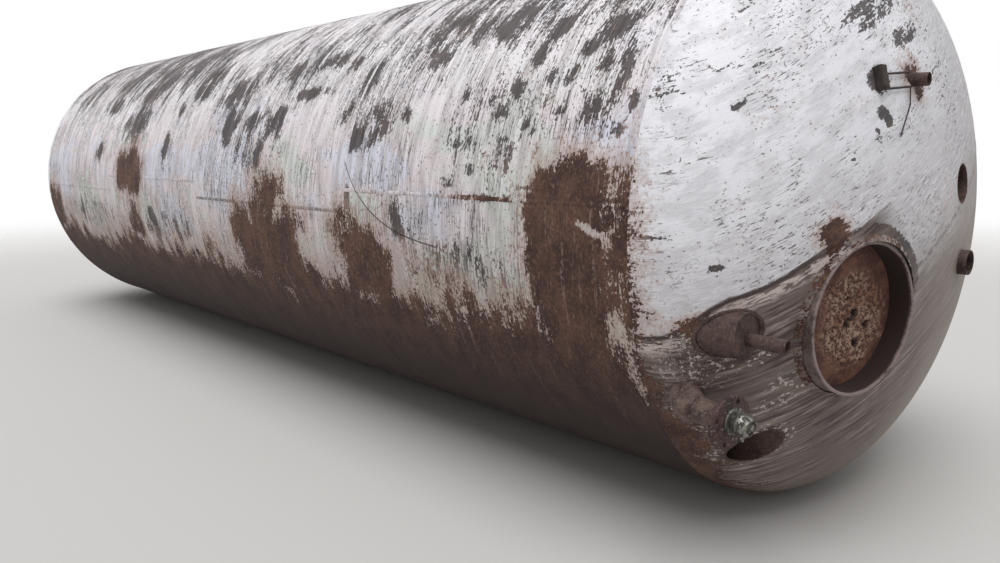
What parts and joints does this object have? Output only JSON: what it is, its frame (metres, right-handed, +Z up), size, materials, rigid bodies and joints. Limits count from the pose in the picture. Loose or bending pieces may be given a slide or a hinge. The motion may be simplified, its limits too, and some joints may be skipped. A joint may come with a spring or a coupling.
{
  "type": "horizontal water storage tank",
  "caption": "Horizontal cylindrical steel tank with dished ends, a sunk manhole, pipe sockets, a drain elbow with a flange, and a vent stub, lying on the ground.",
  "frame": {"origin": "on the ground, under the middle of the shell's length, on the flat that the shell rests on", "axes": "+X along the tank's axis towards the head with the fittings, +Z up, the near side faces -Y"},
  "size_m": [8.1616, 2.406, 2.4],
  "materials": {
    "shell_paint": "worn silver-white paint over rusting steel plate",
    "head_paint": "worn silver-white paint with brush strokes over steel plate",
    "weld_bead": "painted weld bead, chipped to rust",
    "weathered_neck": "thin grey-brown paint over rust",
    "rust_scale": "thick flaking rust scale",
    "rusted_steel": "evenly rusted steel pipe and bar",
    "valve_nickel": "nickel plating, scuffed"
  },
  "bodies": {
    "root": {"course_1_lower_plate": "shell_paint", "course_1_seam_welds": "weld_bead", "course_1_upper_plate": "shell_paint", "course_2_lower_plate": "shell_paint", "course_2_seam_welds": "weld_bead", "course_2_upper_plate": "shell_paint", "course_3_lower_plate": "shell_paint", "course_3_seam_welds": "weld_bead", "course_3_upper_plate": "shell_paint", "course_4_lower_plate": "shell_paint", "course_4_seam_welds": "weld_bead", "course_4_upper_plate": "shell_paint", "cut_socket": "rusted_steel", "drain_elbow": "rusted_steel", "drain_flange": "rusted_steel", "drain_pipe": "rusted_steel", "drain_valve": "valve_nickel", "far_head_lower_plate": "head_paint", "far_head_seam_weld": "weld_bead", "far_head_upper_plate": "head_paint", "girth_weld_1": "weld_bead", "girth_weld_2": "weld_bead", "girth_weld_3": "weld_bead", "girth_weld_4": "weld_bead", "girth_weld_5": "weld_bead", "inlet_pipe": "rusted_steel", "inlet_plate": "rusted_steel", "inlet_socket": "rusted_steel", "inlet_weld": "rusted_steel", "lower_rod": "rusted_steel", "manhole_cover": "rust_scale", "manhole_neck": "weathered_neck", "manhole_weld": "weathered_neck", "near_head_lower_plate": "head_paint", "near_head_seam_weld": "weld_bead", "near_head_upper_plate": "head_paint", "side_socket": "rusted_steel", "side_stub": "rusted_steel", "tie_wire": "rusted_steel", "upper_rod": "rusted_steel", "vent_lug": "rusted_steel", "vent_stub": "rusted_steel"}
  },
  "joints": []
}
